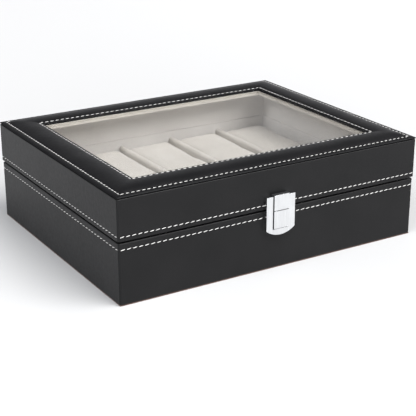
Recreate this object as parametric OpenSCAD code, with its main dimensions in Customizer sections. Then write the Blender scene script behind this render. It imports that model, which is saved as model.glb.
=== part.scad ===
// Ten-slot watch box: a board tray and a hinged lid with a glass top, wrapped in
// leatherette outside and lined with velvet inside, with a push-button lock in front.
// X runs along the front, Y to the back, Z up. The origin is the middle of the underside.

/* [Box] */
// Width of the base
box_w = 250; // [230:1:270]
// Depth of the base, front to back
box_d = 200; // [190:1:220]
// Height of the closed box
box_h = 80; // [76:1:90]
// Height of the base's rim
rim_z = 45; // [45:0.5:50]
// Seam between the base's rim and the lid
seam = 1.4; // [1.4:0.1:2]
// How far the lid stands out past the base on each side
lid_overhang = 0.5; // [0.3:0.1:0.8]

/* [Boards and skins] */
// Thickness of the leatherette
leather = 0.6; // [0.5:0.1:0.8]
// Thickness of the wall boards
board = 6.4; // [6:0.2:8]
// Thickness of the bottom board
bottom_board = 3; // [2.5:0.5:4]
// Thickness of the velvet lining
velvet = 1; // [0.8:0.1:1.2]
// How far the base's velvet lining stands up into the lid
lining_lip = 2; // [0:0.5:3]
// Thickness of the felt under the base
felt = 0.8; // [0.6:0.1:1.2]
// Width of the leatherette turned under the base
turn_under = 12; // [8:1:20]
// Radius of the upright corners
corner_r = 1.2; // [1:0.1:2]

/* [Window] */
// Width of the opening in the padded top
window_w = 200; // [180:1:204]
// Depth of the opening in the padded top
window_d = 148; // [130:1:152]
// Thickness of the glass
glass = 2; // [1.5:0.5:2.5]
// How far the glass reaches under the top past the opening
glass_hold = 7.8; // [6:0.2:8]
// How far the glass stands up into the padded top
glass_rise = 0.9; // [0.6:0.1:1]
// Height of the frame that carries the glass
glass_frame_h = 3.4; // [3:0.2:5]

/* [Padded top] */
// Height of the padded top above the lid's walls
top_h = 3.9; // [3.6:0.1:5]
// Height of the top's outer edge
top_edge = 1.2; // [1:0.1:1.4]
// Width of the thin margin outside the padding
top_margin = 4.2; // [3:0.1:6]
// Height of the top at the inner side of the margin
top_margin_h = 1.9; // [1.7:0.1:2.2]
// Distance from the outer edge to where the padding is at full height
top_slope = 12.3; // [8:0.1:16]
// Height of the top board above the lid's walls
top_board_h = 2.5; // [2.2:0.1:2.8]

/* [Dividers] */
// Height of the dividers' tops
divider_top = 42; // [38:0.5:43]
// Thickness of a velvet-covered divider
divider_t = 5; // [4:0.5:6]
// Distance from one cross divider to the next
divider_pitch = 46.8; // [45:0.1:48]

/* [Pillows] */
// Width of a pillow
pillow_w = 41; // [38:0.2:41]
// Length of a pillow
pillow_l = 87; // [80:0.5:88]
// Height of a pillow
pillow_h = 35; // [26:0.5:36]
// Radius of a pillow's long edges
pillow_r = 7; // [4:0.5:10]
// Thickness of a pillow's velvet cover
pillow_cover = 1.2; // [1:0.1:2]

/* [Lock] */
// Sideways place of the lock
lock_x = 1.2; // [-3:0.1:3]
// Width of the lock frame
lock_w = 24; // [22:0.5:26]
// Height of the lock frame's top
lock_top = 56; // [54:0.5:58]
// Height of the lock frame's lowest point
lock_low = 26.7; // [26:0.1:28]
// Radius of the lock frame's rounded bottom
lock_arc_r = 18.9; // [16:0.1:24]
// How far the lock frame stands out from the base
lock_proud = 3.5; // [3:0.1:4]
// Width of the push button and of the tongue above it
button_w = 13; // [12:0.5:14]
// Travel of the push button
button_travel = 1.5; // [1.2:0.1:1.5]
// Height of the tongue's top
tongue_top = 57; // [56:0.5:59]

/* [Hinges] */
// Distance from the middle of the box to each hinge
hinge_x = 75; // [50:1:95]
// Length of a hinge
hinge_l = 25; // [20:1:30]
// Widest angle of the lid
lid_open = 95; // [90:1:100]

/* [Hidden] */
$fn = 48;
eps = 0.01;
base_z = felt;
base_hx = box_w / 2;
base_hy = box_d / 2;
lid_z = rim_z + seam;
lid_hx = base_hx + lid_overhang;
lid_hy = base_hy + lid_overhang;
wall = leather + board;

// Top of the lid's walls, which is also the underside of the padded top
cover_z = box_h - top_h;

// Hinge axis, and the bevel that meets along the back at the open stop
axis_y = base_hy - 1.8;
axis_z = rim_z + seam / 2;
bevel_a = (lid_open + 2) / 2;

floor_z = base_z + leather + bottom_board;
tray_z = floor_z + velvet;
base_cx = base_hx - wall;
base_cy = base_hy - wall;
lid_cx = lid_hx - wall;
lid_cy = lid_hy - wall;
glass_top = cover_z + glass_rise;
glass_z = glass_top - glass;
frame_z = cover_z - glass_frame_h;
frame_lining = 0.8;
lining_gap = 0.2;
ledge_lining = 0.4;
glass_hx = window_w / 2 + glass_hold;
glass_hy = window_d / 2 + glass_hold;

// Lock depths, measured from the front faces
base_front = -base_hy;
lid_front = -lid_hy;
frame_front = base_front - lock_proud;
block_front = frame_front - 0.8;
channel_w = button_w + 0.4;
channel_z = 31.3;
button_z = channel_z + 0.3;
button_top = rim_z;
tongue_z = rim_z + 0.5;
plate_t = lid_z - tongue_z;
slot_w = 7.2;
slot_back = base_front + leather + board;
hook_t = 1;
hook_front = base_front + 1.4;
hook_z = 38;
nose_l = 1.2;
stem_r = 1.8;
stem_z = 34.6;
leaf_t = 0.4;
leaf_front = base_front + 4.7;
leaf_top = hook_z + 2.7;
prong_r = 0.9;
prong_l = 5;
prong_x = 9.3;
prong_zs = [33.5, 42];

// Hinge sizes
knuckle_r = 1.4;
pin_r = 0.6;
pin_gap = 0.03;
leaf_h = 0.6;
leaf_l = 3;
knuckle_gap = 0.2;
barrel_clear = 0.2;
mid_knuckle = hinge_l * 0.38;
screw_r = 0.7;
screw_head_r = 1.2;
screw_len = 5;
screw_y = axis_y - knuckle_r - barrel_clear - leaf_l / 2;
screw_dx = hinge_l / 2 - 4;

columns = 5;
column_x = [for (i = [0:columns - 1]) (i - (columns - 1) / 2) * divider_pitch];
divider_x = [for (i = [0:columns - 2]) (i - (columns - 2) / 2) * divider_pitch];
pillow_y = divider_t / 2 + 1.1 + pillow_l / 2;
rows = ["front", "back"];

// ---------- shared shapes ----------

// Block between two corners
module block(a, b) {
  translate(a) cube([b[0] - a[0], b[1] - a[1], b[2] - a[2]]);
}

// Block round the Z axis, half sizes hx and hy, from z0 to z1
module slab(hx, hy, z0, z1) {
  block([-hx, -hy, z0], [hx, hy, z1]);
}

// Same, with upright corners of radius r
module round_slab(hx, hy, z0, z1, r) {
  slab(hx - r, hy, z0, z1);
  slab(hx, hy - r, z0, z1);
  for (sx = [-1, 1], sy = [-1, 1]) translate([sx * (hx - r), sy * (hy - r), z0]) cylinder(r = r, h = z1 - z0);
}

// Cylinder along Y from y0 to y1
module y_rod(x, z, r, y0, y1) {
  translate([x, y1, z]) rotate([90, 0, 0]) cylinder(r = r, h = y1 - y0);
}

// Cylinder along X from x0 to x1
module x_rod(y, z, r, x0, x1) {
  translate([x0, y, z]) rotate([0, 90, 0]) cylinder(r = r, h = x1 - x0);
}

// The base's outer form, shrunk by t all round, with the bevel of the open stop at the back
module base_form(t) {
  drop = t / cos(bevel_a);
  back = base_hy - t;
  top = rim_z - t;
  bevel_z = axis_z - drop - (back - axis_y) * tan(bevel_a);
  bevel_y = axis_y + (axis_z - drop - top) / tan(bevel_a);
  outline = [[-base_hy, base_z], [back, base_z], [back, bevel_z], [bevel_y, top], [-base_hy, top]];
  intersection() {
    round_slab(base_hx - t, base_hy - t, base_z + t, top, corner_r - t / 2);
    translate([-base_hx, 0, 0]) rotate([90, 0, 90]) linear_extrude(box_w) polygon(outline);
  }
}

// The lid's side walls as one form, shrunk by t, with its half of the bevel
module lid_form(t) {
  rise = t / cos(bevel_a);
  back = lid_hy - t;
  low = lid_z + t;
  bevel_z = axis_z + rise + (back - axis_y) * tan(bevel_a);
  bevel_y = axis_y + (low - axis_z - rise) / tan(bevel_a);
  outline = [[-lid_hy, low], [bevel_y, low], [back, bevel_z], [back, cover_z], [-lid_hy, cover_z]];
  intersection() {
    round_slab(lid_hx - t, lid_hy - t, low, cover_z - t, corner_r - t / 2);
    translate([-lid_hx, 0, 0]) rotate([90, 0, 90]) linear_extrude(2 * lid_hx) polygon(outline);
  }
}

// Section of the padded top across half width h, shrunk by t
function top_section(h, t) = [
  [-h + t, cover_z + t], [h - t, cover_z + t], [h - t, cover_z + top_edge - t * 0.85],
  [h - top_margin, cover_z + top_margin_h - t], [h - top_slope, box_h - t],
  [-h + top_slope, box_h - t], [-h + top_margin, cover_z + top_margin_h - t],
  [-h + t, cover_z + top_edge - t * 0.85]
];

// The padded top without its window, shrunk by t
module top_form(t) {
  hx = lid_hx + 0.1;
  hy = lid_hy + 0.1;
  intersection() {
    translate([0, base_hy + 2, 0]) rotate([90, 0, 0]) linear_extrude(2 * base_hy + 4)
      polygon(top_section(hx, t));
    translate([-base_hx - 2, 0, 0]) rotate([90, 0, 90]) linear_extrude(2 * base_hx + 4)
      polygon(top_section(hy, t));
  }
}

// Hole of the window and the seat of the glass in the top's underside, widened by t
module window_hole(t) {
  slab(window_w / 2 + t, window_d / 2 + t, cover_z - 10, box_h + 5);
  slab(glass_hx + 0.2 + t, glass_hy + 0.2 + t, cover_z - 1, glass_top + t);
}

// Everything the lock and the hinges cut out of the base's front wall and rim
module base_cuts() {
  // shallow seat for the button's flange, and the slot behind it for the hook and the spring
  block([lock_x - 8.2, base_front - 1, 31], [lock_x + 8.2, base_front + button_travel - 0.6, rim_z + 1]);
  block([lock_x - slot_w / 2, base_front, 31.2], [lock_x + slot_w / 2, slot_back, rim_z + 1]);
  for (s = [-1, 1], z = prong_zs) y_rod(lock_x + s * prong_x, z, prong_r, base_front - 1, base_front + prong_l);
  translate([lock_x, base_front + 2.8, 26.2]) cylinder(r = screw_r, h = 6);
  for (s = [-1, 1]) {
    r = knuckle_r + barrel_clear;
    block([s * hinge_x - hinge_l / 2 - 0.3, axis_y - r, axis_z - r],
          [s * hinge_x + hinge_l / 2 + 0.3, base_hy + 1, rim_z + 1]);
  }
  hinge_screw_cuts(rim_z, -1);
}

// Everything the hinges and the tongue's screws cut out of the lid
module lid_cuts() {
  for (s = [-1, 1]) {
    r = knuckle_r + barrel_clear;
    block([s * hinge_x - hinge_l / 2 - 0.3, axis_y - r, lid_z - 1],
          [s * hinge_x + hinge_l / 2 + 0.3, lid_hy + 1, axis_z + r]);
  }
  hinge_screw_cuts(lid_z, 1);
  for (s = [-1, 1]) translate([lock_x + s * 4.4, lid_front + 5, lid_z - 1]) cylinder(r = screw_r, h = screw_len + 0.1);
}

// Holes for the hinge screws, down (-1) from the rim or up (1) into the lid
module hinge_screw_cuts(z, dir) {
  for (s = [-1, 1], d = [-1, 1]) translate([s * hinge_x + d * screw_dx, screw_y, z])
    mirror([0, 0, dir < 0 ? 1 : 0]) translate([0, 0, -eps]) cylinder(r = screw_r, h = screw_len - leaf_h + eps);
}

// ---------- base ----------

// Thin felt sheet on the underside, raised inside the turned edge of the wrap
module underside_felt() {
  color([0.32, 0.2, 0.15]) {
    slab(base_hx - 0.4, base_hy - 0.4, 0, felt);
    slab(base_hx - turn_under, base_hy - turn_under, felt - eps, felt + leather);
  }
}

// Bottom board under the walls
module base_board() {
  color([0.72, 0.58, 0.42]) intersection() {
    base_form(leather);
    slab(base_hx, base_hy, 0, floor_z);
  }
}

// Ring of the base's wall boards, cut to one side by the caller
module base_boards() {
  difference() {
    base_form(leather);
    slab(base_cx, base_cy, 0, rim_z + 1);
    slab(base_hx, base_hy, 0, floor_z);
    base_cuts();
  }
}

// Front and back boards run the full width; the side boards stand between them
module base_front_wall() {
  color([0.72, 0.58, 0.42]) intersection() {
    base_boards();
    block([-base_hx, -base_hy, 0], [base_hx, -base_cy, rim_z]);
  }
}

module base_back_wall() {
  color([0.72, 0.58, 0.42]) intersection() {
    base_boards();
    block([-base_hx, base_cy, 0], [base_hx, base_hy, rim_z]);
  }
}

module base_side_wall(side) {
  color([0.72, 0.58, 0.42]) intersection() {
    base_boards();
    block([side < 0 ? -base_hx : base_cx, -base_cy, 0], [side < 0 ? -base_cx : base_hx, base_cy, rim_z]);
  }
}

// Leatherette round the base, folded over the rim and turned under the bottom board
module base_wrap() {
  color([0.13, 0.13, 0.14]) difference() {
    base_form(0);
    base_form(leather);
    slab(base_cx, base_cy, floor_z, rim_z + 1);
    slab(base_hx - turn_under, base_hy - turn_under, 0, floor_z);
    base_cuts();
  }
}

// Velvet strip round the inside of the walls, standing up past the rim into the lid
module base_side_lining() {
  color([0.74, 0.71, 0.68]) difference() {
    slab(base_cx, base_cy, floor_z, rim_z + lining_lip);
    slab(base_cx - velvet, base_cy - velvet, floor_z - 1, rim_z + lining_lip + 1);
  }
}

// Velvet sheet on the bottom board
module floor_lining() {
  color([0.74, 0.71, 0.68]) slab(base_cx - velvet, base_cy - velvet, floor_z, tray_z);
}

// ---------- dividers ----------

// Upright board with a rounded top edge, standing on the floor lining, running along X
module divider_board(half_l) {
  r = divider_t / 2;
  block([-half_l, -r, tray_z], [half_l, r, divider_top - r]);
  x_rod(0, divider_top - r, r, -half_l, half_l);
}

half_lap = (divider_top + tray_z) / 2;

// Long divider, slotted from above where the cross dividers drop in
module lengthwise_divider() {
  color([0.76, 0.73, 0.7]) difference() {
    divider_board(base_cx - velvet);
    for (x = divider_x)
      block([x - divider_t / 2, -divider_t, half_lap], [x + divider_t / 2, divider_t, divider_top + 1]);
  }
}

// Cross divider, slotted from below over the long one
module cross_divider(i) {
  color([0.76, 0.73, 0.7]) translate([divider_x[i - 1], 0, 0]) difference() {
    rotate([0, 0, 90]) divider_board(base_cy - velvet);
    block([-divider_t, -divider_t / 2, 0], [divider_t, divider_t / 2, half_lap]);
  }
}

// ---------- pillows ----------

// Box with rounded edges: three rounded prisms, one along each axis, cut to what they share
module pillow_form(w, l, h, r) {
  side_r = r / 2;
  intersection() {
    translate([0, 0, h / 2]) rotate([90, 0, 0]) round_slab(w / 2, h / 2, -l / 2, l / 2, r);
    translate([0, 0, h / 2]) rotate([0, 90, 0]) round_slab(h / 2, l / 2, -w / 2, w / 2, r);
    round_slab(w / 2, l / 2, 0, h, side_r);
  }
}

module pillow_at(row, i) {
  translate([column_x[i - 1], row == "front" ? -pillow_y : pillow_y, tray_z]) children();
}

module pillow_core_form() {
  t = pillow_cover;
  translate([0, 0, t]) pillow_form(pillow_w - 2 * t, pillow_l - 2 * t, pillow_h - 2 * t, pillow_r - t);
}

// Sewn velvet cover, closed round its foam core
module pillow(row, i) {
  color([0.88, 0.85, 0.81]) pillow_at(row, i) difference() {
    pillow_form(pillow_w, pillow_l, pillow_h, pillow_r);
    pillow_core_form();
  }
}

module pillow_core(row, i) {
  color([0.95, 0.93, 0.8]) pillow_at(row, i) pillow_core_form();
}

// ---------- lock ----------

// Chrome U: two arms and a rounded foot, with prongs pressed into the front wall
module lock_frame() {
  arc_z = lock_low + lock_arc_r;
  color([0.85, 0.86, 0.88]) translate([lock_x, 0, 0]) {
    difference() {
      union() {
        intersection() {
          block([-lock_w / 2, frame_front, lock_low - 1], [lock_w / 2, base_front, arc_z]);
          y_rod(0, arc_z, lock_arc_r, frame_front - 1, base_front + 1);
        }
        block([-lock_w / 2, frame_front, arc_z - eps], [lock_w / 2, base_front, lock_top]);
      }
      // channel for the button and the tongue, and the wider pocket for the button's flange
      block([-channel_w / 2, frame_front - 1, channel_z], [channel_w / 2, base_front + 1, lock_top + 1]);
      block([-8, base_front - 1.7, channel_z], [8, base_front + 1, rim_z]);
      // room for the lid, which stands out past the base
      block([-lock_w, lid_front - 0.3, rim_z], [lock_w, base_front + 1, lock_top + 1]);
    }
    for (s = [-1, 1], z = prong_zs) y_rod(s * prong_x, z, prong_r, base_front - 1, base_front + prong_l);
  }
}

// Push button: block in the channel, flange behind it that keeps it in, and the stem
module lock_button() {
  color([0.85, 0.86, 0.88]) translate([lock_x, 0, 0]) {
    block([-button_w / 2, block_front, button_z], [button_w / 2, base_front - 1.6, button_top]);
    block([-7.6, base_front - 1.6 - eps, button_z], [7.6, base_front - 0.8, button_top - 0.4]);
    y_rod(0, stem_z, stem_r, base_front - 1, leaf_front - 0.1);
  }
}

// Leaf spring in the slot: foot screwed down, leaf behind the stem, lip over the hook's nose
module catch_spring() {
  foot_z = 31.2;
  color([0.6, 0.62, 0.65]) translate([lock_x, 0, 0]) {
    difference() {
      block([-2.8, base_front + 1.2, foot_z], [2.8, leaf_front + leaf_t, foot_z + leaf_t]);
      translate([0, base_front + 2.8, foot_z - 1]) cylinder(r = screw_r, h = 3);
    }
    block([-2.8, leaf_front, foot_z], [2.8, leaf_front + leaf_t, leaf_top]);
    block([-2.8, leaf_front - 2, leaf_top - leaf_t], [2.8, leaf_front + leaf_t, leaf_top]);
  }
}

module catch_screw() {
  color([0.7, 0.7, 0.72]) translate([lock_x, base_front + 2.8, 0]) {
    translate([0, 0, 26.2]) cylinder(r = screw_r, h = 5.6);
    translate([0, 0, 31.2 + leaf_t]) cylinder(r = screw_head_r, h = 0.6);
  }
}

// Tongue on the lid: block between the frame's arms, plate under the lid's rail, hook down
// into the slot
module lock_tongue() {
  color([0.85, 0.86, 0.88]) difference() {
    translate([lock_x, 0, 0]) {
      block([-button_w / 2, block_front, tongue_z], [button_w / 2, lid_front, tongue_top]);
      block([-button_w / 2, lid_front - eps, tongue_z], [button_w / 2, lid_front + 6.6, lid_z]);
      block([-3, hook_front, hook_z], [3, hook_front + hook_t, lid_z - eps]);
      translate([-3, 0, 0]) rotate([90, 0, 90]) linear_extrude(6) polygon([
        [hook_front + hook_t - eps, hook_z], [hook_front + hook_t + 0.2, hook_z],
        [hook_front + hook_t + nose_l, hook_z + 1.2], [hook_front + hook_t + nose_l, hook_z + 2.1],
        [hook_front + hook_t - eps, hook_z + 2.1]]);
    }
    tongue_screw_solids();
  }
}

module tongue_screw_solids() {
  for (s = [-1, 1]) translate([lock_x + s * 4.4, lid_front + 5, tongue_z]) {
    cylinder(r1 = screw_head_r, r2 = screw_r, h = plate_t - 0.2);
    translate([0, 0, plate_t - 0.2 - eps]) cylinder(r = screw_r, h = screw_len - 1);
  }
}

module tongue_screws() {
  color([0.8, 0.8, 0.82]) tongue_screw_solids();
}

// ---------- hinges ----------

// Knuckles of one hinge: the outer pair (base) or the middle one (lid)
module knuckles(outer, bore_r) {
  mid = mid_knuckle / 2;
  spans = outer ? [[-hinge_l / 2, -mid - knuckle_gap], [mid + knuckle_gap, hinge_l / 2]] : [[-mid, mid]];
  for (span = spans) difference() {
    union() {
      x_rod(axis_y, axis_z, knuckle_r, span[0], span[1]);
      if (outer) block([span[0], axis_y - knuckle_r - barrel_clear - eps, rim_z], [span[1], axis_y, rim_z + leaf_h]);
      else block([span[0], axis_y - knuckle_r - barrel_clear - eps, lid_z - leaf_h], [span[1], axis_y, lid_z]);
    }
    x_rod(axis_y, axis_z, bore_r, span[0] - 1, span[1] + 1);
  }
}

// Countersunk screws of one leaf, pointing down (-1) or up (1) from height z
module leaf_screws(z, dir) {
  for (d = [-1, 1]) translate([d * screw_dx, screw_y, z]) mirror([0, 0, dir < 0 ? 1 : 0]) {
    cylinder(r1 = screw_head_r, r2 = screw_r, h = leaf_h);
    translate([0, 0, leaf_h - eps]) cylinder(r = screw_r, h = screw_len - leaf_h);
  }
}

module hinge_leaf(side, outer) {
  front = axis_y - knuckle_r - barrel_clear - leaf_l;
  z0 = outer ? rim_z : lid_z - leaf_h;
  color([0.8, 0.8, 0.82]) translate([side * hinge_x, 0, 0]) {
    difference() {
      block([-hinge_l / 2, front, z0], [hinge_l / 2, front + leaf_l, z0 + leaf_h]);
      leaf_screws(outer ? rim_z + leaf_h : lid_z - leaf_h, outer ? -1 : 1);
    }
    knuckles(outer, outer ? pin_r : pin_r + pin_gap);
  }
}

module hinge_pin(side) {
  color([0.7, 0.7, 0.72]) x_rod(axis_y, axis_z, pin_r, side * hinge_x - hinge_l / 2, side * hinge_x + hinge_l / 2);
}

module hinge_base_screws() {
  color([0.8, 0.8, 0.82]) for (s = [-1, 1]) translate([s * hinge_x, 0, 0]) leaf_screws(rim_z + leaf_h, -1);
}

module hinge_lid_screws() {
  color([0.8, 0.8, 0.82]) for (s = [-1, 1]) translate([s * hinge_x, 0, 0]) leaf_screws(lid_z - leaf_h, 1);
}

// ---------- lid ----------

// Ring of the lid's rails, cut to one side by the caller
module lid_boards() {
  difference() {
    lid_form(leather);
    slab(lid_cx, lid_cy, 0, box_h);
    lid_cuts();
  }
}

module lid_front_rail() {
  color([0.72, 0.58, 0.42]) intersection() {
    lid_boards();
    block([-lid_hx, -lid_hy, lid_z], [lid_hx, -lid_cy, cover_z]);
  }
}

module lid_back_rail() {
  color([0.72, 0.58, 0.42]) intersection() {
    lid_boards();
    block([-lid_hx, lid_cy, lid_z], [lid_hx, lid_hy, cover_z]);
  }
}

module lid_side_rail(side) {
  color([0.72, 0.58, 0.42]) intersection() {
    lid_boards();
    block([side < 0 ? -lid_hx : lid_cx, -lid_cy, lid_z], [side < 0 ? -lid_cx : lid_hx, lid_cy, cover_z]);
  }
}

// Leatherette round the lid's rails, folded over their lower and upper edges
module lid_wrap() {
  color([0.13, 0.13, 0.14]) difference() {
    lid_form(0);
    lid_form(leather);
    slab(lid_cx, lid_cy, 0, box_h);
    lid_cuts();
  }
}

// Velvet strip round the inside of the rails, from the base's lining up to the glass frame
module lid_side_lining() {
  color([0.74, 0.71, 0.68]) difference() {
    slab(lid_cx, lid_cy, rim_z + lining_lip + lining_gap, frame_z);
    slab(lid_cx - velvet, lid_cy - velvet, rim_z, frame_z + 1);
  }
}

// Rebated frame between the rails; the glass lies in it and stands up into the padded top
module glass_frame() {
  color([0.72, 0.58, 0.42]) difference() {
    slab(lid_cx, lid_cy, frame_z, cover_z);
    slab(window_w / 2 + 1, window_d / 2 + 1, frame_z - 1, cover_z + 1);
    slab(glass_hx + 0.2, glass_hy + 0.2, glass_z - ledge_lining, cover_z + 1);
  }
}

// Velvet over the glass frame's underside, inner edge and ledge
module glass_frame_lining() {
  color([0.78, 0.75, 0.71]) difference() {
    union() {
      slab(lid_cx - velvet, lid_cy - velvet, frame_z - frame_lining, frame_z);
      slab(window_w / 2 + 1, window_d / 2 + 1, frame_z - eps, glass_z);
      slab(glass_hx + 0.2, glass_hy + 0.2, glass_z - ledge_lining, glass_z);
    }
    slab(window_w / 2 + 0.2, window_d / 2 + 0.2, frame_z - 2, glass_z + 1);
  }
}

module glass_pane() {
  color([0.8, 0.9, 0.9, 0.4]) slab(glass_hx, glass_hy, glass_z, glass_top);
}

// Card ring that stiffens the padded top
module top_board() {
  color([0.6, 0.55, 0.45]) difference() {
    intersection() {
      top_form(leather);
      slab(lid_hx + 1, lid_hy + 1, cover_z, cover_z + top_board_h);
    }
    window_hole(leather);
  }
}

// Sponge ring on the card
module top_padding() {
  color([0.9, 0.88, 0.6]) difference() {
    intersection() {
      top_form(leather);
      slab(lid_hx + 1, lid_hy + 1, cover_z + top_board_h, box_h);
    }
    window_hole(leather);
  }
}

// Leatherette sewn over sponge and card, turned under at the edge and at the window
module top_cover() {
  color([0.14, 0.14, 0.15]) difference() {
    top_form(0);
    window_hole(0);
    difference() {
      top_form(leather);
      window_hole(leather);
    }
  }
}

underside_felt();
base_board();
base_front_wall();
base_back_wall();
base_side_wall(-1);  // base_left_wall
base_side_wall(1);  // base_right_wall
base_wrap();
base_side_lining();
floor_lining();
lengthwise_divider();
for (i = [1:columns - 1]) cross_divider(i);
for (r = rows, i = [1:columns]) pillow(r, i);
for (r = rows, i = [1:columns])
  pillow_core(r, i);
lock_frame();
lock_button();
catch_spring();
catch_screw();
hinge_leaf(-1, true);  // left_hinge_base_leaf
hinge_leaf(-1, false);  // left_hinge_lid_leaf
hinge_pin(-1);  // left_hinge_pin
hinge_leaf(1, true);  // right_hinge_base_leaf
hinge_leaf(1, false);  // right_hinge_lid_leaf
hinge_pin(1);  // right_hinge_pin
hinge_base_screws();
hinge_lid_screws();
lid_front_rail();
lid_back_rail();
lid_side_rail(-1);  // lid_left_rail
lid_side_rail(1);  // lid_right_rail
lid_wrap();
lid_side_lining();
glass_pane();
glass_frame();
glass_frame_lining();
top_board();
top_padding();
top_cover();
lock_tongue();
tongue_screws();
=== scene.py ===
import math
import random
import bmesh
import bpy
from mathutils import Matrix, Quaternion, Vector, noise


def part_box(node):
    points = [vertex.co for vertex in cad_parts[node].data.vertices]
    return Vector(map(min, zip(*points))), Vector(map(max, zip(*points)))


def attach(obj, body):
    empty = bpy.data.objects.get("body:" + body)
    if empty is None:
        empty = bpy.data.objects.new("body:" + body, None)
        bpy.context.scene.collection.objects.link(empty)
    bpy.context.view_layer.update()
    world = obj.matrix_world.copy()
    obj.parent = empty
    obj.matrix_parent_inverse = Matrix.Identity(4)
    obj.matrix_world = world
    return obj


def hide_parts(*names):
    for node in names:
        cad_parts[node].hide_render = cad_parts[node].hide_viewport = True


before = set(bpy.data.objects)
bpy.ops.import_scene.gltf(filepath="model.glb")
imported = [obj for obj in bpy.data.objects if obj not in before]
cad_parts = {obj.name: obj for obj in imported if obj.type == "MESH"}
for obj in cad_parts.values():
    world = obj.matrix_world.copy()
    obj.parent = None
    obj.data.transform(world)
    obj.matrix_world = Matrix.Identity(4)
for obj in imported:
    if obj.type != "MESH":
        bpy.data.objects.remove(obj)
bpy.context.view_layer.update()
mm = 0.001

# ---------------------------------------------------------------------------
# Camera: a long lens, a little above the box, looking at its front left corner.
azimuth = math.radians(-31.304)
elevation = math.radians(20.864)
roll = math.radians(-0.072)
aim = Vector((21.18, 28.016, -0.184)) * mm
distance = 923.84 * mm
back = Vector((math.sin(azimuth) * math.cos(elevation),
               -math.cos(azimuth) * math.cos(elevation), math.sin(elevation)))
camera_data = bpy.data.cameras.new("camera")
camera_data.lens = 97.717
camera_data.sensor_width = 36
camera_data.clip_start = 0.05
camera_data.clip_end = 50
camera = bpy.data.objects.new("camera", camera_data)
camera.rotation_mode = "QUATERNION"
camera.location = aim + back * distance
camera.rotation_quaternion = (-back).to_track_quat("-Z", "Y") @ Quaternion((0, 0, 1), roll)
scene = bpy.context.scene
scene.collection.objects.link(camera)
scene.camera = camera
scene.view_settings.view_transform = "Standard"
scene.cycles.use_denoising = True

# ---------------------------------------------------------------------------
# Studio: a white dome, bright near the horizon and darker higher up, a large soft box
# over the front right and a weaker one to the left, and a matt white floor whose colour
# is darker towards the box as painted shade, with a faint satin reflection.


def add_node(look, kind, links=(), **settings):
    """Adds a node; links are (input, source node, output), settings are inputs or properties."""
    tree = look.node_tree
    made = tree.nodes.new(kind)
    for key, value in settings.items():
        if hasattr(made, key):
            setattr(made, key, value)
        else:
            made.inputs[key.replace("_", " ")].default_value = value
    for socket, source, output in links:
        tree.links.new(source.outputs[output], made.inputs[socket])
    return made


def add_ramp(look, source, output, first, last, low, high):
    """A ramp from one colour to another, led by one output of a node."""
    ramp = add_node(look, "ShaderNodeValToRGB", [("Fac", source, output)])
    for point, place, colour in zip(ramp.color_ramp.elements, (low, high), (first, last)):
        point.position = place
        point.color = (*colour, 1)
    return ramp


def soft_box(name, place, target, width, height, power, tint=(1, 1, 1)):
    """A rectangular lamp that faces its target, with its power in watts."""
    lamp = bpy.data.lights.new(name, "AREA")
    lamp.shape = "RECTANGLE"
    lamp.size = width
    lamp.size_y = height
    lamp.energy = power
    lamp.color = tint
    holder = bpy.data.objects.new(name, lamp)
    holder.location = place
    holder.rotation_mode = "QUATERNION"
    holder.rotation_quaternion = (Vector(target) - Vector(place)).to_track_quat("-Z", "Y")
    scene.collection.objects.link(holder)


def shader_of(look):
    return look.node_tree.nodes["Principled BSDF"]


def new_look(name, colour, roughness, **sockets):
    """A material with one Principled shader; sockets are more of its inputs, by name."""
    look = bpy.data.materials.new(name)
    look.use_nodes = True
    shader = shader_of(look)
    shader.inputs["Base Color"].default_value = (*colour, 1)
    shader.inputs["Roughness"].default_value = roughness
    for socket, value in sockets.items():
        shader.inputs[socket.replace("_", " ")].default_value = value
    return look


def drive(look, socket, source, output):
    """Leads one input of a material's shader from a node."""
    look.node_tree.links.new(source.outputs[output], shader_of(look).inputs[socket])


def two_tone(look, source, output, dark, light, low=0.3, high=0.7):
    """Colours a material between two tones, led by a pattern."""
    drive(look, "Base Color", add_ramp(look, source, output, dark, light, low, high), "Color")


world = bpy.data.worlds.new("studio")
world.use_nodes = True
scene.world = world
world.node_tree.nodes.clear()
sky_place = add_node(world, "ShaderNodeTexCoord")
sky_axes = add_node(world, "ShaderNodeSeparateXYZ", [(0, sky_place, "Generated")])
sky_ramp = add_ramp(world, sky_axes, "Z", (0.97, 0.97, 1), (0.1, 0.1, 0.105), 0.12, 0.3)
sky_light = add_node(world, "ShaderNodeBackground", [("Color", sky_ramp, "Color")], Strength=1.0)
add_node(world, "ShaderNodeOutputWorld", [(0, sky_light, 0)])

soft_box("soft_box_key", (0.8, -1.6, 2.6), (0, 0, 0), 3, 3, 220)
soft_box("soft_box_left", (-1.2, -0.5, 1.2), (0, 0, 0.05), 1, 1, 24, (0.95, 0.97, 1))

floor_reach = 4
floor_form = bmesh.new()
bmesh.ops.create_grid(floor_form, x_segments=1, y_segments=1, size=floor_reach)
floor_mesh = bpy.data.meshes.new("floor")
floor_form.to_mesh(floor_mesh)
floor_form.free()
floor = bpy.data.objects.new("floor", floor_mesh)
scene.collection.objects.link(floor)
floor_look = new_look("floor_white", (0.86, 0.86, 0.86), 0.35, Specular_IOR_Level=0.3)
floor_place = add_node(floor_look, "ShaderNodeTexCoord")
# Painted shade: the floor's colour darkens towards the box, round the box's foot.
floor_painted_shade = add_node(floor_look, "ShaderNodeTexGradient", [("Vector", floor_place, "Object")],
                      gradient_type="SPHERICAL")
two_tone(floor_look, floor_painted_shade, "Fac", (0.86, 0.86, 0.86), (0.46, 0.46, 0.462), 0, 1)
floor_mesh.materials.append(floor_look)

# ---------------------------------------------------------------------------
# Boards: fibreboard walls, rails and frames and the grey card of the padded
# top. They are glued and stapled, and the skins cover nearly all of them.


def place_of(look, stretch=(1, 1, 1)):
    """Object coordinates, stretched along an axis where a grain runs that way."""
    here = add_node(look, "ShaderNodeTexCoord")
    return add_node(look, "ShaderNodeMapping", [("Vector", here, "Object")], Scale=stretch)


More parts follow.
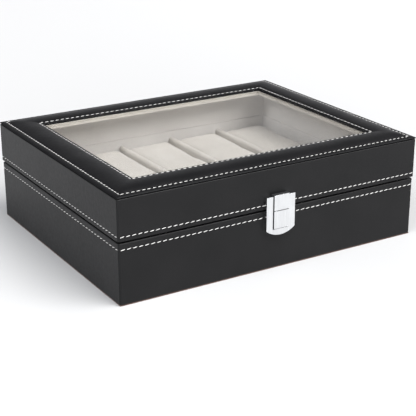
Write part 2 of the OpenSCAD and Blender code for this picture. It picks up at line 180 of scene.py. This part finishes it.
def noise_of(look, place, scale, detail, roughness=0.5):
    """An uneven pattern; scale is how many of its clouds fit in a metre."""
    return add_node(look, "ShaderNodeTexNoise", [("Vector", place, "Vector")],
                    Scale=scale, Detail=detail, Roughness=roughness)


def spread_roughness(look, source, output, low, high):
    """Varies a material's roughness between two values, led by a pattern."""
    span = add_node(look, "ShaderNodeMapRange", [("Value", source, output)],
                    To_Min=low, To_Max=high)
    drive(look, "Roughness", span, "Result")


def bump_from(look, source, output, depth, strength=1.0, after=None):
    """Bump of a depth in metres; after is another bump that it adds to."""
    bump = add_node(look, "ShaderNodeBump", [("Height", source, output)],
                    Distance=depth, Strength=strength)
    if after:
        look.node_tree.links.new(after.outputs["Normal"], bump.inputs["Normal"])
    drive(look, "Normal", bump, "Normal")
    return bump


def finish_node(name, look):
    """Gives a CAD node its material and leaves its mesh alone."""
    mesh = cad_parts[name].data
    mesh.materials.clear()
    mesh.materials.append(look)


def fibre_look(name, dark, light):
    """Pressed fibres, some darker than others, with a faint tooth."""
    look = new_look(name, light, 0.85)
    fibres = noise_of(look, place_of(look, (1, 1, 3)), 900, 5, 0.7)
    two_tone(look, fibres, "Fac", dark, light)
    bump_from(look, fibres, "Fac", 0.1 * mm)
    return look


fibreboard = fibre_look("fibreboard", (0.2, 0.13, 0.075), (0.36, 0.25, 0.15))
grey_card = fibre_look("grey_card", (0.2, 0.18, 0.15), (0.33, 0.3, 0.26))
for side in ("front", "back", "left", "right"):
    finish_node(f"base_{side}_wall", fibreboard)
    finish_node(f"lid_{side}_rail", fibreboard)
finish_node("base_board", fibreboard)
finish_node("glass_frame", fibreboard)
finish_node("top_board", grey_card)

# ---------------------------------------------------------------------------
# Felt under the base: thin brown felt, cut to size and glued to the bottom over
# the turned edge of the wrap.
felt = new_look("brown_felt", (0.1, 0.05, 0.035), 0.95, Sheen_Weight=0.3)
felt_fibres = noise_of(felt, place_of(felt), 700, 6, 0.75)
two_tone(felt, felt_fibres, "Fac", (0.06, 0.03, 0.02), (0.14, 0.07, 0.05))
bump_from(felt, felt_fibres, "Fac", 0.3 * mm)
finish_node("underside_felt", felt)

# ---------------------------------------------------------------------------
# Wraps: black leatherette glued round the base and round the lid's rails, folded
# over the rims, with one sewn row near the seam pulled a little into the board.
leatherette = new_look("black_leatherette", (0.0055, 0.0055, 0.006), 0.42,
                       Specular_IOR_Level=0.22)
leather_place = place_of(leatherette)
leather_pebble = add_node(leatherette, "ShaderNodeTexVoronoi",
                          [("Vector", leather_place, "Vector")], feature="SMOOTH_F1", Scale=1300)
leather_creases = noise_of(leatherette, leather_place, 420, 4, 0.6)
leather_waves = noise_of(leatherette, leather_place, 28, 2)
leather_grain = noise_of(leatherette, place_of(leatherette, (1, 1, 0.14)), 650, 2)
two_tone(leatherette, leather_waves, "Fac", (0.0042, 0.0042, 0.0047), (0.0065, 0.0064, 0.0069))
spread_roughness(leatherette, leather_creases, "Fac", 0.34, 0.52)
waves = bump_from(leatherette, leather_waves, "Fac", 0.35 * mm, 0.35)
creases = bump_from(leatherette, leather_creases, "Fac", 0.06 * mm, 0.5, waves)
grain = bump_from(leatherette, leather_grain, "Fac", 0.07 * mm, 0.5, creases)
bump_from(leatherette, leather_pebble, "Distance", 0.06 * mm, 0.45, grain)

skin = 0.6 * mm
upright_r = 1.2 * mm
rim_over = 0.85 * mm
rim_under = 0.45 * mm
rim_angle = 0.3
corner_fold = 0.5 * mm
groove_depth = 0.22 * mm
groove_reach = 1.3 * mm
groove_steps = (-1, -0.55, -0.2, 0, 0.2, 0.55, 1)

# How near a point lies to the outer skin, or to a rim's height, to count as on it.
on_skin = 0.05 * mm
on_rim = 0.02 * mm

wrap_low, wrap_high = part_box("base_wrap")
lid_low, lid_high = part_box("lid_wrap")
base_half = Vector((wrap_high.x, wrap_high.y))
lid_half = Vector((lid_high.x, lid_high.y))
base_row_z = wrap_high.z - 4.7 * mm
lid_row_z = lid_low.z + 3.2 * mm


def merged_copy(node):
    """A CAD node's mesh as a bmesh, with its loose triangles joined into whole faces."""
    form = bmesh.new()
    form.from_mesh(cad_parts[node].data)
    bmesh.ops.remove_doubles(form, verts=form.verts, dist=1e-6)
    bmesh.ops.dissolve_limit(form, angle_limit=math.radians(0.5), verts=form.verts,
                             edges=form.edges)
    return form


def make_piece(form, name, look, smooth_below=40, weighted=True):
    """Turns a bmesh into an object with smooth faces and sharp edges above an angle."""
    for face in form.faces:
        face.smooth = True
    mesh = bpy.data.meshes.new(name)
    form.to_mesh(mesh)
    form.free()
    mesh.set_sharp_from_angle(angle=math.radians(smooth_below))
    mesh.materials.append(look)
    piece = bpy.data.objects.new(name, mesh)
    scene.collection.objects.link(piece)
    if weighted:
        even = piece.modifiers.new("even_normals", "WEIGHTED_NORMAL")
        even.keep_sharp = True
    return piece


def cut_level(form, heights):
    """Cuts level edges round the form at each height."""
    for height in heights:
        bmesh.ops.bisect_plane(form, geom=form.verts[:] + form.edges[:] + form.faces[:],
                               plane_co=(0, 0, height), plane_no=(0, 0, 1), dist=1e-7)


def outline_side(point, half, radius):
    """Distance outside a rounded rectangle and the outward direction there."""
    reach = Vector((abs(point.x) - half.x + radius, abs(point.y) - half.y + radius))
    if min(reach) > 0:
        away = reach.length - radius
        out = reach.normalized()
    else:
        away = max(reach) - radius
        out = Vector((1, 0)) if reach.x > reach.y else Vector((0, 1))
    return away, Vector((math.copysign(out.x, point.x), math.copysign(out.y, point.y), 0))


def press_row(form, half, radius, height, depth, reach):
    """Pulls the outer skin in along a sewn row at one height."""
    cut_level(form, [height + step * reach for step in groove_steps])
    for vert in form.verts:
        gap = abs(vert.co.z - height) / reach
        away, out = outline_side(vert.co, half, radius)
        if gap < 0.99 and abs(away) < on_skin:
            vert.co -= out * depth * (0.5 + 0.5 * math.cos(math.pi * gap))


def crease_corners(form, half, radius, depth):
    """Sinks the sewn fold that runs down each upright corner."""
    for vert in form.verts:
        away, out = outline_side(vert.co, half, radius)
        if away > -skin / 2:
            vert.co -= out * depth * min(2 * abs(out.x * out.y), 1)


def round_rim(form, height, half, radius, size):
    """Rounds the outer edges that lie at this height."""
    edges = []
    for edge in form.edges:
        level = [v for v in edge.verts if abs(v.co.z - height) < on_rim
                 and abs(outline_side(v.co, half, radius)[0]) < on_skin]
        if len(level) == 2 and edge.is_manifold and edge.calc_face_angle(0) > rim_angle:
            edges.append(edge)
    bmesh.ops.bevel(form, geom=edges, offset=size, affect="EDGES", segments=3, profile=0.5,
                    material=-1, clamp_overlap=True)


for node, half, row_z in (("base_wrap", base_half, base_row_z),
                          ("lid_wrap", lid_half, lid_row_z)):
    wrap = merged_copy(node)
    low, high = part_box(node)
    round_rim(wrap, high.z, half, upright_r, rim_over)
    round_rim(wrap, low.z, half, upright_r, rim_under)
    press_row(wrap, half, upright_r, row_z, groove_depth, groove_reach)
    crease_corners(wrap, half, upright_r, corner_fold)
    skin_piece = make_piece(wrap, node.replace("wrap", "leatherette"), leatherette)
    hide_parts(node)
    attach(skin_piece, node.split("_")[0])

# ---------------------------------------------------------------------------
# Padded top: leatherette sewn over a sponge ring, with a thin margin outside the
# outer row and a narrow lip inside the inner row, folded under at both edges.
top_low, top_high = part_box("top_cover")
top_half = Vector((top_high.x, top_high.y))
glass_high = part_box("glass_pane")[1]
window_half = Vector((100, 74)) * mm
seat_half = Vector((glass_high.x, glass_high.y)) + Vector((0.2, 0.2)) * mm
band = Vector((top_half.x - window_half.x, top_half.y - window_half.y))
band_steps = 28
band_crowding = 0.09
window_steps = Vector((212, 156))

# Rows and the sponge's ridge, as distances in from the outer edge or out from the window.
outer_row = 4.2 * mm
inner_row = 2.4 * mm
peak_row = 15.5 * mm
outer_pitch = 4.0 * mm
inner_pitch = 4.37 * mm

# The surface's heights, each with the distance over which it comes about.
edge_thickness = 0.95 * mm
edge_round = 3.4 * mm
sponge_rise = 1.98 * mm
window_fall = 0.75 * mm
lip_drop = 0.65 * mm
lip_width = 1.3 * mm
outer_pull = 0.3 * mm
inner_pull = 0.26 * mm
pull_reach = 0.75 * mm
pucker_depth = 0.09 * mm
pucker_reach = 2.2 * mm
corner_blend = 4 * mm
wrinkle_depth = 0.12 * mm
wrinkle_start = 5 * mm
wrinkle_full = 11 * mm
wrinkle_scale = 55

# The underside clears what it lies on, and its edge is tucked in under the rim.
under_gap = 0.02 * mm
under_tuck = 1.2 * mm


def rise(value, start, end):
    """From 0 at the start to 1 at the end, easing in and out."""
    part = min(max((value - start) / (end - start), 0), 1)
    return part * part * (3 - 2 * part)


def soft_min(a, b, blend):
    """The smaller of two values, rounded where they are nearly equal."""
    h = max(blend - abs(a - b), 0) / blend
    return min(a, b) - h * h * blend / 4


def cover_height(x, y):
    """Height of the padded top's surface: a margin, the sponge's dome, then the window lip."""
    gap_x = top_half.x - abs(x)
    gap_y = top_half.y - abs(y)
    outside = min(gap_x, gap_y)
    inside = max(abs(x) - window_half.x, abs(y) - window_half.y)
    swell = soft_min(gap_x, gap_y, corner_blend)
    climb = min(max((swell - outer_row) / (peak_row - outer_row), 0), 1)
    fall = min(max((band.x - peak_row - inside) / (band.x - peak_row - inner_row), 0), 1)
    height = top_low.z + edge_thickness
    height += edge_thickness * (1 - (1 - min(outside / edge_round, 1)) ** 2.4)
    height += sponge_rise * (1 - (1 - climb) ** 2.2) - window_fall * fall ** 2
    height -= lip_drop * (1 - rise(inside, 0, lip_width))
    along = x if gap_y < gap_x else y
    for gap, depth, pitch in ((outside - outer_row, outer_pull, outer_pitch),
                              (inside - inner_row, inner_pull, inner_pitch)):
        near = math.exp(-(gap / pull_reach) ** 2)
        wide = math.exp(-(gap / pucker_reach) ** 2)
        beat = 0.5 + 0.5 * math.cos(2 * math.pi * along / pitch)
        height -= depth * near + pucker_depth * wide * beat
    wrinkle = noise.noise(Vector((x, y, 0)) * wrinkle_scale)
    return height + wrinkle_depth * wrinkle * rise(swell, wrinkle_start, wrinkle_full)


def grid_line(index, steps, half, ring):
    """Coordinate of a grid line: fine near both edges of the padded band, even elsewhere."""
    low_band = band_steps
    high_band = band_steps + steps
    if index < low_band:
        part = index / low_band
        return -half + ring * (part - band_crowding * math.sin(2 * math.pi * part))
    if index > high_band:
        part = (index - high_band) / band_steps
        return half - ring + ring * (part - band_crowding * math.sin(2 * math.pi * part))
    return (index - low_band) / steps * 2 * (half - ring) - (half - ring)


columns = band_steps * 2 + int(window_steps.x)
lines = band_steps * 2 + int(window_steps.y)
cover = bmesh.new()
bmesh.ops.create_grid(cover, x_segments=columns, y_segments=lines, size=0.5)
for vert in cover.verts:
    column = round((vert.co.x + 0.5) * columns)
    line = round((vert.co.y + 0.5) * lines)
    vert.co.x = grid_line(column, window_steps.x, top_half.x, band.x)
    vert.co.y = grid_line(line, window_steps.y, top_half.y, band.y)
open_faces = [f for f in cover.faces
              if abs(f.calc_center_median().x) < window_half.x
              and abs(f.calc_center_median().y) < window_half.y]
bmesh.ops.delete(cover, geom=open_faces, context="FACES")
raised = bmesh.ops.extrude_face_region(cover, geom=cover.faces[:])
upper = {v for v in raised["geom"] if isinstance(v, bmesh.types.BMVert)}
for vert in cover.verts:
    x, y = vert.co.x, vert.co.y
    if vert in upper:
        vert.co.z = cover_height(x, y)
    elif abs(x) < seat_half.x and abs(y) < seat_half.y:
        vert.co.z = glass_high.z + under_gap
    else:
        vert.co.z = top_low.z + under_gap
        vert.co.x = math.copysign(min(abs(x), top_half.x - under_tuck), x)
        vert.co.y = math.copysign(min(abs(y), top_half.y - under_tuck), y)
bmesh.ops.recalc_face_normals(cover, faces=cover.faces)
padded_top = make_piece(cover, "padded_top", leatherette, 50)
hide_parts("top_cover", "top_padding")
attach(padded_top, "lid")

# ---------------------------------------------------------------------------
# Stitches: off-white thread, one short lockstitch after another along each row,
# each lying a little aslant with its ends drawn into the leatherette.
thread = new_look("white_thread", (0.66, 0.65, 0.63), 0.6, Sheen_Weight=0.2)
thread_twist = add_node(thread, "ShaderNodeTexWave", [("Vector", place_of(thread), "Vector")],
                        wave_type="BANDS", bands_direction="DIAGONAL", Scale=900, Distortion=1.5)
two_tone(thread, thread_twist, "Fac", (0.5, 0.49, 0.47), (0.74, 0.73, 0.71), 0.1, 0.7)
bump_from(thread, thread_twist, "Fac", 0.08 * mm)
stitch_width = 0.27 * mm
stitch_height = 0.3 * mm
stitch_reach = 0.37
slant = math.radians(9)
side_sink = 0.14 * mm
top_lift = 0.12 * mm
upright_gap = 1.0 * mm
base_pitch = 4.55 * mm
lid_pitch = 4.42 * mm


def sew(form, place, along, out, pitch):
    """One stitch: a spindle lying along the row, its middle standing out of the surface."""
    across = out.cross(along)
    turned = (along * math.cos(slant) + across * math.sin(slant)).normalized()
    axes = Matrix((out.cross(turned), out, turned)).transposed().to_4x4()
    size = Matrix.Diagonal((stitch_width, stitch_height, pitch * stitch_reach, 1))
    bmesh.ops.create_uvsphere(form, u_segments=8, v_segments=6, radius=1,
                              matrix=Matrix.Translation(place) @ axes @ size)


def sewn_row(name, half, corner_gap, pitch, surface, body, left_out=(0, 0)):
    """A row of stitches round a rectangle; surface gives the place and outward direction.

    left_out is a stretch of the front without stitches."""
    form = bmesh.new()
    for axis in (0, 1):
        reach = half[axis] - corner_gap
        count = round(2 * reach / pitch)
        for sign in (-1, 1):
            along = Vector((axis == 0, axis == 1, 0)) * -sign * (1 if axis == 0 else -1)
            for step in range(count):
                run = -reach + 2 * reach * (step + 0.5) / count
                if axis == 0 and sign < 0 and left_out[0] < run < left_out[1]:
                    continue
                spot = [0, 0]
                spot[axis] = run
                spot[1 - axis] = sign * half[1 - axis]
                place, out = surface(spot[0], spot[1], axis, sign)
                sew(form, place, along, out, pitch)
    row = make_piece(form, name, thread, 180, weighted=False)
    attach(row, body)


def on_side(height):
    """A surface for sewn_row: the upright sides at one height."""
    def surface(x, y, axis, sign):
        out = Vector((0, sign, 0)) if axis == 0 else Vector((sign, 0, 0))
        return Vector((x, y, height)) - out * side_sink, out
    return surface


def on_top(x, y, axis, sign):
    """A surface for sewn_row: the padded top."""
    return Vector((x, y, cover_height(x, y) + top_lift)), Vector((0, 0, 1))


lock_low, lock_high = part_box("lock_frame")
under_lock = (lock_low.x, lock_high.x)
sewn_row("base_stitches", base_half, upright_gap, base_pitch, on_side(base_row_z), "base",
         under_lock)
sewn_row("lid_stitches", lid_half, upright_gap, lid_pitch, on_side(lid_row_z), "lid",
         under_lock)
sewn_row("top_outer_stitches", top_half - Vector((outer_row, outer_row)), 0, outer_pitch,
         on_top, "lid")
sewn_row("top_inner_stitches", window_half + Vector((inner_row, inner_row)), 0, inner_pitch,
         on_top, "lid")

# ---------------------------------------------------------------------------
# Velvet: short-pile grey velvet glued on card round the base and the lid and on the
# bottom, cream velvet glued over the dividers, and a velvet between the two in tone
# drawn over the frame that carries the glass.


def velvet_look(name, dark, light, pile):
    """Velvet with an uneven nap; pile is the depth of its tufts."""
    look = new_look(name, light, 0.92, Sheen_Weight=0.35, Sheen_Roughness=0.45)
    place = place_of(look)
    nap = noise_of(look, place, 34, 3)
    tufts = noise_of(look, place, 1500, 3, 0.7)
    two_tone(look, nap, "Fac", dark, light)
    soft = bump_from(look, nap, "Fac", 0.3 * mm, 0.25)
    bump_from(look, tufts, "Fac", pile, 0.6, soft)
    return look


lining = velvet_look("grey_velvet", (0.67, 0.648, 0.62), (0.73, 0.71, 0.682), 0.15 * mm)
cream = velvet_look("cream_velvet", (0.475, 0.452, 0.41), (0.535, 0.512, 0.47), 0.2 * mm)
frame_velvet = velvet_look("frame_velvet", (0.54, 0.505, 0.45), (0.6, 0.565, 0.505), 0.15 * mm)
finish_node("glass_frame_lining", frame_velvet)
for node in ("base_side_lining", "floor_lining", "lid_side_lining"):
    finish_node(node, lining)
finish_node("lengthwise_divider", cream)
for number in range(1, 5):
    finish_node(f"cross_divider_{number}", cream)

# ---------------------------------------------------------------------------
# Pillows: a cream velvet cover sewn over a foam block, one laid loose in each slot.
# One pillow is blown up as cloth, and each of the ten gets its own small dents.
pillow_low, pillow_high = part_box("pillow_back_3")
pillow_size = pillow_high - pillow_low
pillow_inset = Vector((1.2, 1.2, 0)) * mm
pillow_swell = 2.4 * mm
crown_limit = 1.9 * mm
corner_round = 2.5 * mm
cloth_grid = 2.5 * mm
cloth_frames = 20
dent_depth = 0.8 * mm
dent_scale = 38
tilt_limit = 0.25


def evaluated_mesh(piece):
    """A new mesh of the piece as its modifiers leave it."""
    depsgraph = bpy.context.evaluated_depsgraph_get()
    return bpy.data.meshes.new_from_object(piece.evaluated_get(depsgraph))


def blown_pillow():
    """The pillow's surface round the origin of its underside, after the cloth has swelled."""
    form = bmesh.new()
    bmesh.ops.create_cube(form, size=1)
    bmesh.ops.scale(form, vec=pillow_size - pillow_inset, verts=form.verts)
    bmesh.ops.bevel(form, geom=form.edges[:], offset=corner_round, affect="EDGES", segments=3,
                    profile=0.5, material=-1)
    bmesh.ops.translate(form, vec=(0, 0, pillow_size.z / 2), verts=form.verts)
    mesh = bpy.data.meshes.new("pillow_start")
    form.to_mesh(mesh)
    form.free()
    blank = bpy.data.objects.new("pillow_start", mesh)
    scene.collection.objects.link(blank)
    grid = blank.modifiers.new("grid", "REMESH")
    grid.mode = "VOXEL"
    grid.voxel_size = cloth_grid
    blank.data = evaluated_mesh(blank)
    blank.modifiers.clear()
    before = [v.co.copy() for v in blank.data.vertices]
    cloth = blank.modifiers.new("cloth", "CLOTH")
    cloth.settings.quality = 6
    cloth.settings.mass = 0.15
    cloth.settings.tension_stiffness = 12
    cloth.settings.compression_stiffness = 12
    cloth.settings.bending_stiffness = 1.5
    cloth.settings.use_pressure = True
    cloth.settings.uniform_pressure_force = 4
    cloth.settings.effector_weights.gravity = 0
    cloth.point_cache.frame_start = 1
    cloth.point_cache.frame_end = cloth_frames
    for step in range(1, cloth_frames + 1):
        scene.frame_set(step)
    blank.data = evaluated_mesh(blank)
    blank.modifiers.clear()
    scene.frame_set(1)
    blown = bmesh.new()
    blown.from_mesh(blank.data)
    bpy.data.objects.remove(blank)
    blown.verts.ensure_lookup_table()
    for vert, old in zip(blown.verts, before):
        move = vert.co - old
        if move.length > pillow_swell:
            vert.co = old + move * pillow_swell / move.length
        vert.co.x = max(min(vert.co.x, pillow_size.x / 2), -pillow_size.x / 2)
        vert.co.y = max(min(vert.co.y, pillow_size.y / 2), -pillow_size.y / 2)
        vert.co.z = max(vert.co.z, 0)
    bmesh.ops.smooth_vert(blown, verts=blown.verts, factor=0.5, use_axis_x=True,
                          use_axis_y=True, use_axis_z=True)
    return blown


pillow_form = blown_pillow()
pillow_mesh = bpy.data.meshes.new("pillow_form")
pillow_form.to_mesh(pillow_mesh)
pillow_form.free()
dents = random.Random(11)
for row in ("front", "back"):
    for number in range(1, 6):
        node = f"pillow_{row}_{number}"
        low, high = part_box(node)
        seed = Vector((dents.uniform(0, 50), dents.uniform(0, 50), dents.uniform(0, 50)))
        tilt = math.radians(dents.uniform(-tilt_limit, tilt_limit))
        turn = Matrix.Rotation(tilt + math.pi * dents.randint(0, 1), 3, "Z")
        form = bmesh.new()
        form.from_mesh(pillow_mesh)
        for vert in form.verts:
            top_part = rise(vert.co.z, pillow_size.z * 0.4, pillow_size.z)
            vert.co = turn @ vert.co
            vert.co.z += dent_depth * noise.noise(vert.co * dent_scale + seed) * top_part
            vert.co.z = min(vert.co.z, pillow_size.z + crown_limit)
            vert.co += Vector(((low.x + high.x) / 2, (low.y + high.y) / 2, low.z))
        pillow = make_piece(form, f"pillow_{row}_{number}_cover", cream, 180, weighted=False)
        round_off = pillow.modifiers.new("round_off", "SUBSURF")
        round_off.levels = 1
        round_off.render_levels = 1
        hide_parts(node, node.replace("pillow", "pillow_core"))
        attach(pillow, node)

# ---------------------------------------------------------------------------
# Glass: a clear pane lying in its frame under the padded top, with a polished
# edge; lamps shine through it without caustics.
glass = new_look("clear_glass", (0.985, 0.985, 0.985), 0.02, Transmission_Weight=1, IOR=1.45)
glass_smear = noise_of(glass, place_of(glass), 16, 2)
spread_roughness(glass, glass_smear, "Fac", 0.0, 0.03)
light_path = add_node(glass, "ShaderNodeLightPath")
passing = add_node(glass, "ShaderNodeMath", [(0, light_path, "Is Shadow Ray"),
                                             (1, light_path, "Is Diffuse Ray")],
                   operation="MAXIMUM")
see_through = add_node(glass, "ShaderNodeBsdfTransparent", Color=(0.96, 0.955, 0.955, 1))
pane_mix = add_node(glass, "ShaderNodeMixShader", [(0, passing, 0), (1, shader_of(glass), 0),
                                                   (2, see_through, 0)])
glass.node_tree.links.new(pane_mix.outputs[0],
                          glass.node_tree.nodes["Material Output"].inputs[0])
finish_node("glass_pane", glass)

# ---------------------------------------------------------------------------
# Lock: die-cast and chromed. The U frame and the push button sit on the base,
# the tongue above the button belongs to the lid. Edges are eased by hand polishing.
chrome = new_look("polished_chrome", (0.74, 0.745, 0.755), 0.12, Metallic=1)
chrome_wipe = noise_of(chrome, place_of(chrome, (1, 1, 0.05)), 1200, 4)
two_tone(chrome, chrome_wipe, "Fac", (0.68, 0.685, 0.7), (0.8, 0.81, 0.82))
spread_roughness(chrome, chrome_wipe, "Fac", 0.08, 0.2)
bump_from(chrome, chrome_wipe, "Fac", 0.01 * mm, 0.3)

# The walls of the slot and the button's sides keep the dull skin of the casting,
# coloured nearly black as painted shade in the slot.
slot_painted_shade = new_look("slot_painted_shade", (0.035, 0.035, 0.037), 0.55, Metallic=0.6)
casting_grain = noise_of(slot_painted_shade, place_of(slot_painted_shade), 1500, 3)
spread_roughness(slot_painted_shade, casting_grain, "Fac", 0.45, 0.7)
bump_from(slot_painted_shade, casting_grain, "Fac", 0.02 * mm)
lock_middle = (lock_low.x + lock_high.x) / 2
slot_half = 8 * mm
slot_foot = 2 * mm
slot_clearance = 0.35 * mm
eased_edge = 0.28 * mm
standing_out = wrap_low.y - 1 * mm

for node, body in (("lock_frame", "base"), ("lock_button", "lock_button"),
                   ("lock_tongue", "lid")):
    form = merged_copy(node)
    lower_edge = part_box(node)[0].z + 1 * mm
    if node != "lock_frame":
        for vert in form.verts:
            edge_gap = slot_clearance if vert.co.y < standing_out else 0
            vert.co.x -= math.copysign(edge_gap, vert.co.x - lock_middle)
            if node == "lock_button" and vert.co.z < lower_edge:
                vert.co.z += edge_gap
    sharp = [e for e in form.edges if e.is_manifold and e.calc_face_angle(0) > math.radians(35)]
    bmesh.ops.bevel(form, geom=sharp, offset=eased_edge, affect="EDGES", segments=3, profile=0.5,
                    material=-1, clamp_overlap=True)
    for face in form.faces:
        middle = face.calc_center_median()
        in_slot = abs(middle.x - lock_middle) < slot_half and middle.z > lock_low.z + slot_foot
        # Faces in the slot get the near-black painted shade.
        if abs(face.normal.y) < 0.3 and in_slot:
            face.material_index = 1
    part = make_piece(form, f"{node}_chrome", chrome, 35)
    part.data.materials.append(slot_painted_shade)
    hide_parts(node)
    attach(part, body)

# ---------------------------------------------------------------------------
# Hinges, screws and the catch spring: stamped and turned steel, bright with zinc.
# The leaves are screwed to the back boards, the spring behind the front wall.
zinc = new_look("zinc", (0.62, 0.63, 0.65), 0.3, Metallic=1)
zinc_grain = noise_of(zinc, place_of(zinc, (0.1, 1, 1)), 1800, 3)
two_tone(zinc, zinc_grain, "Fac", (0.5, 0.51, 0.53), (0.68, 0.69, 0.71))
spread_roughness(zinc, zinc_grain, "Fac", 0.22, 0.4)
for node in ("catch_spring", "catch_screw", "tongue_screws",
             "hinge_base_screws", "hinge_lid_screws"):
    finish_node(node, zinc)
for side in ("left", "right"):
    for piece in ("base_leaf", "lid_leaf", "pin"):
        finish_node(f"{side}_hinge_{piece}", zinc)
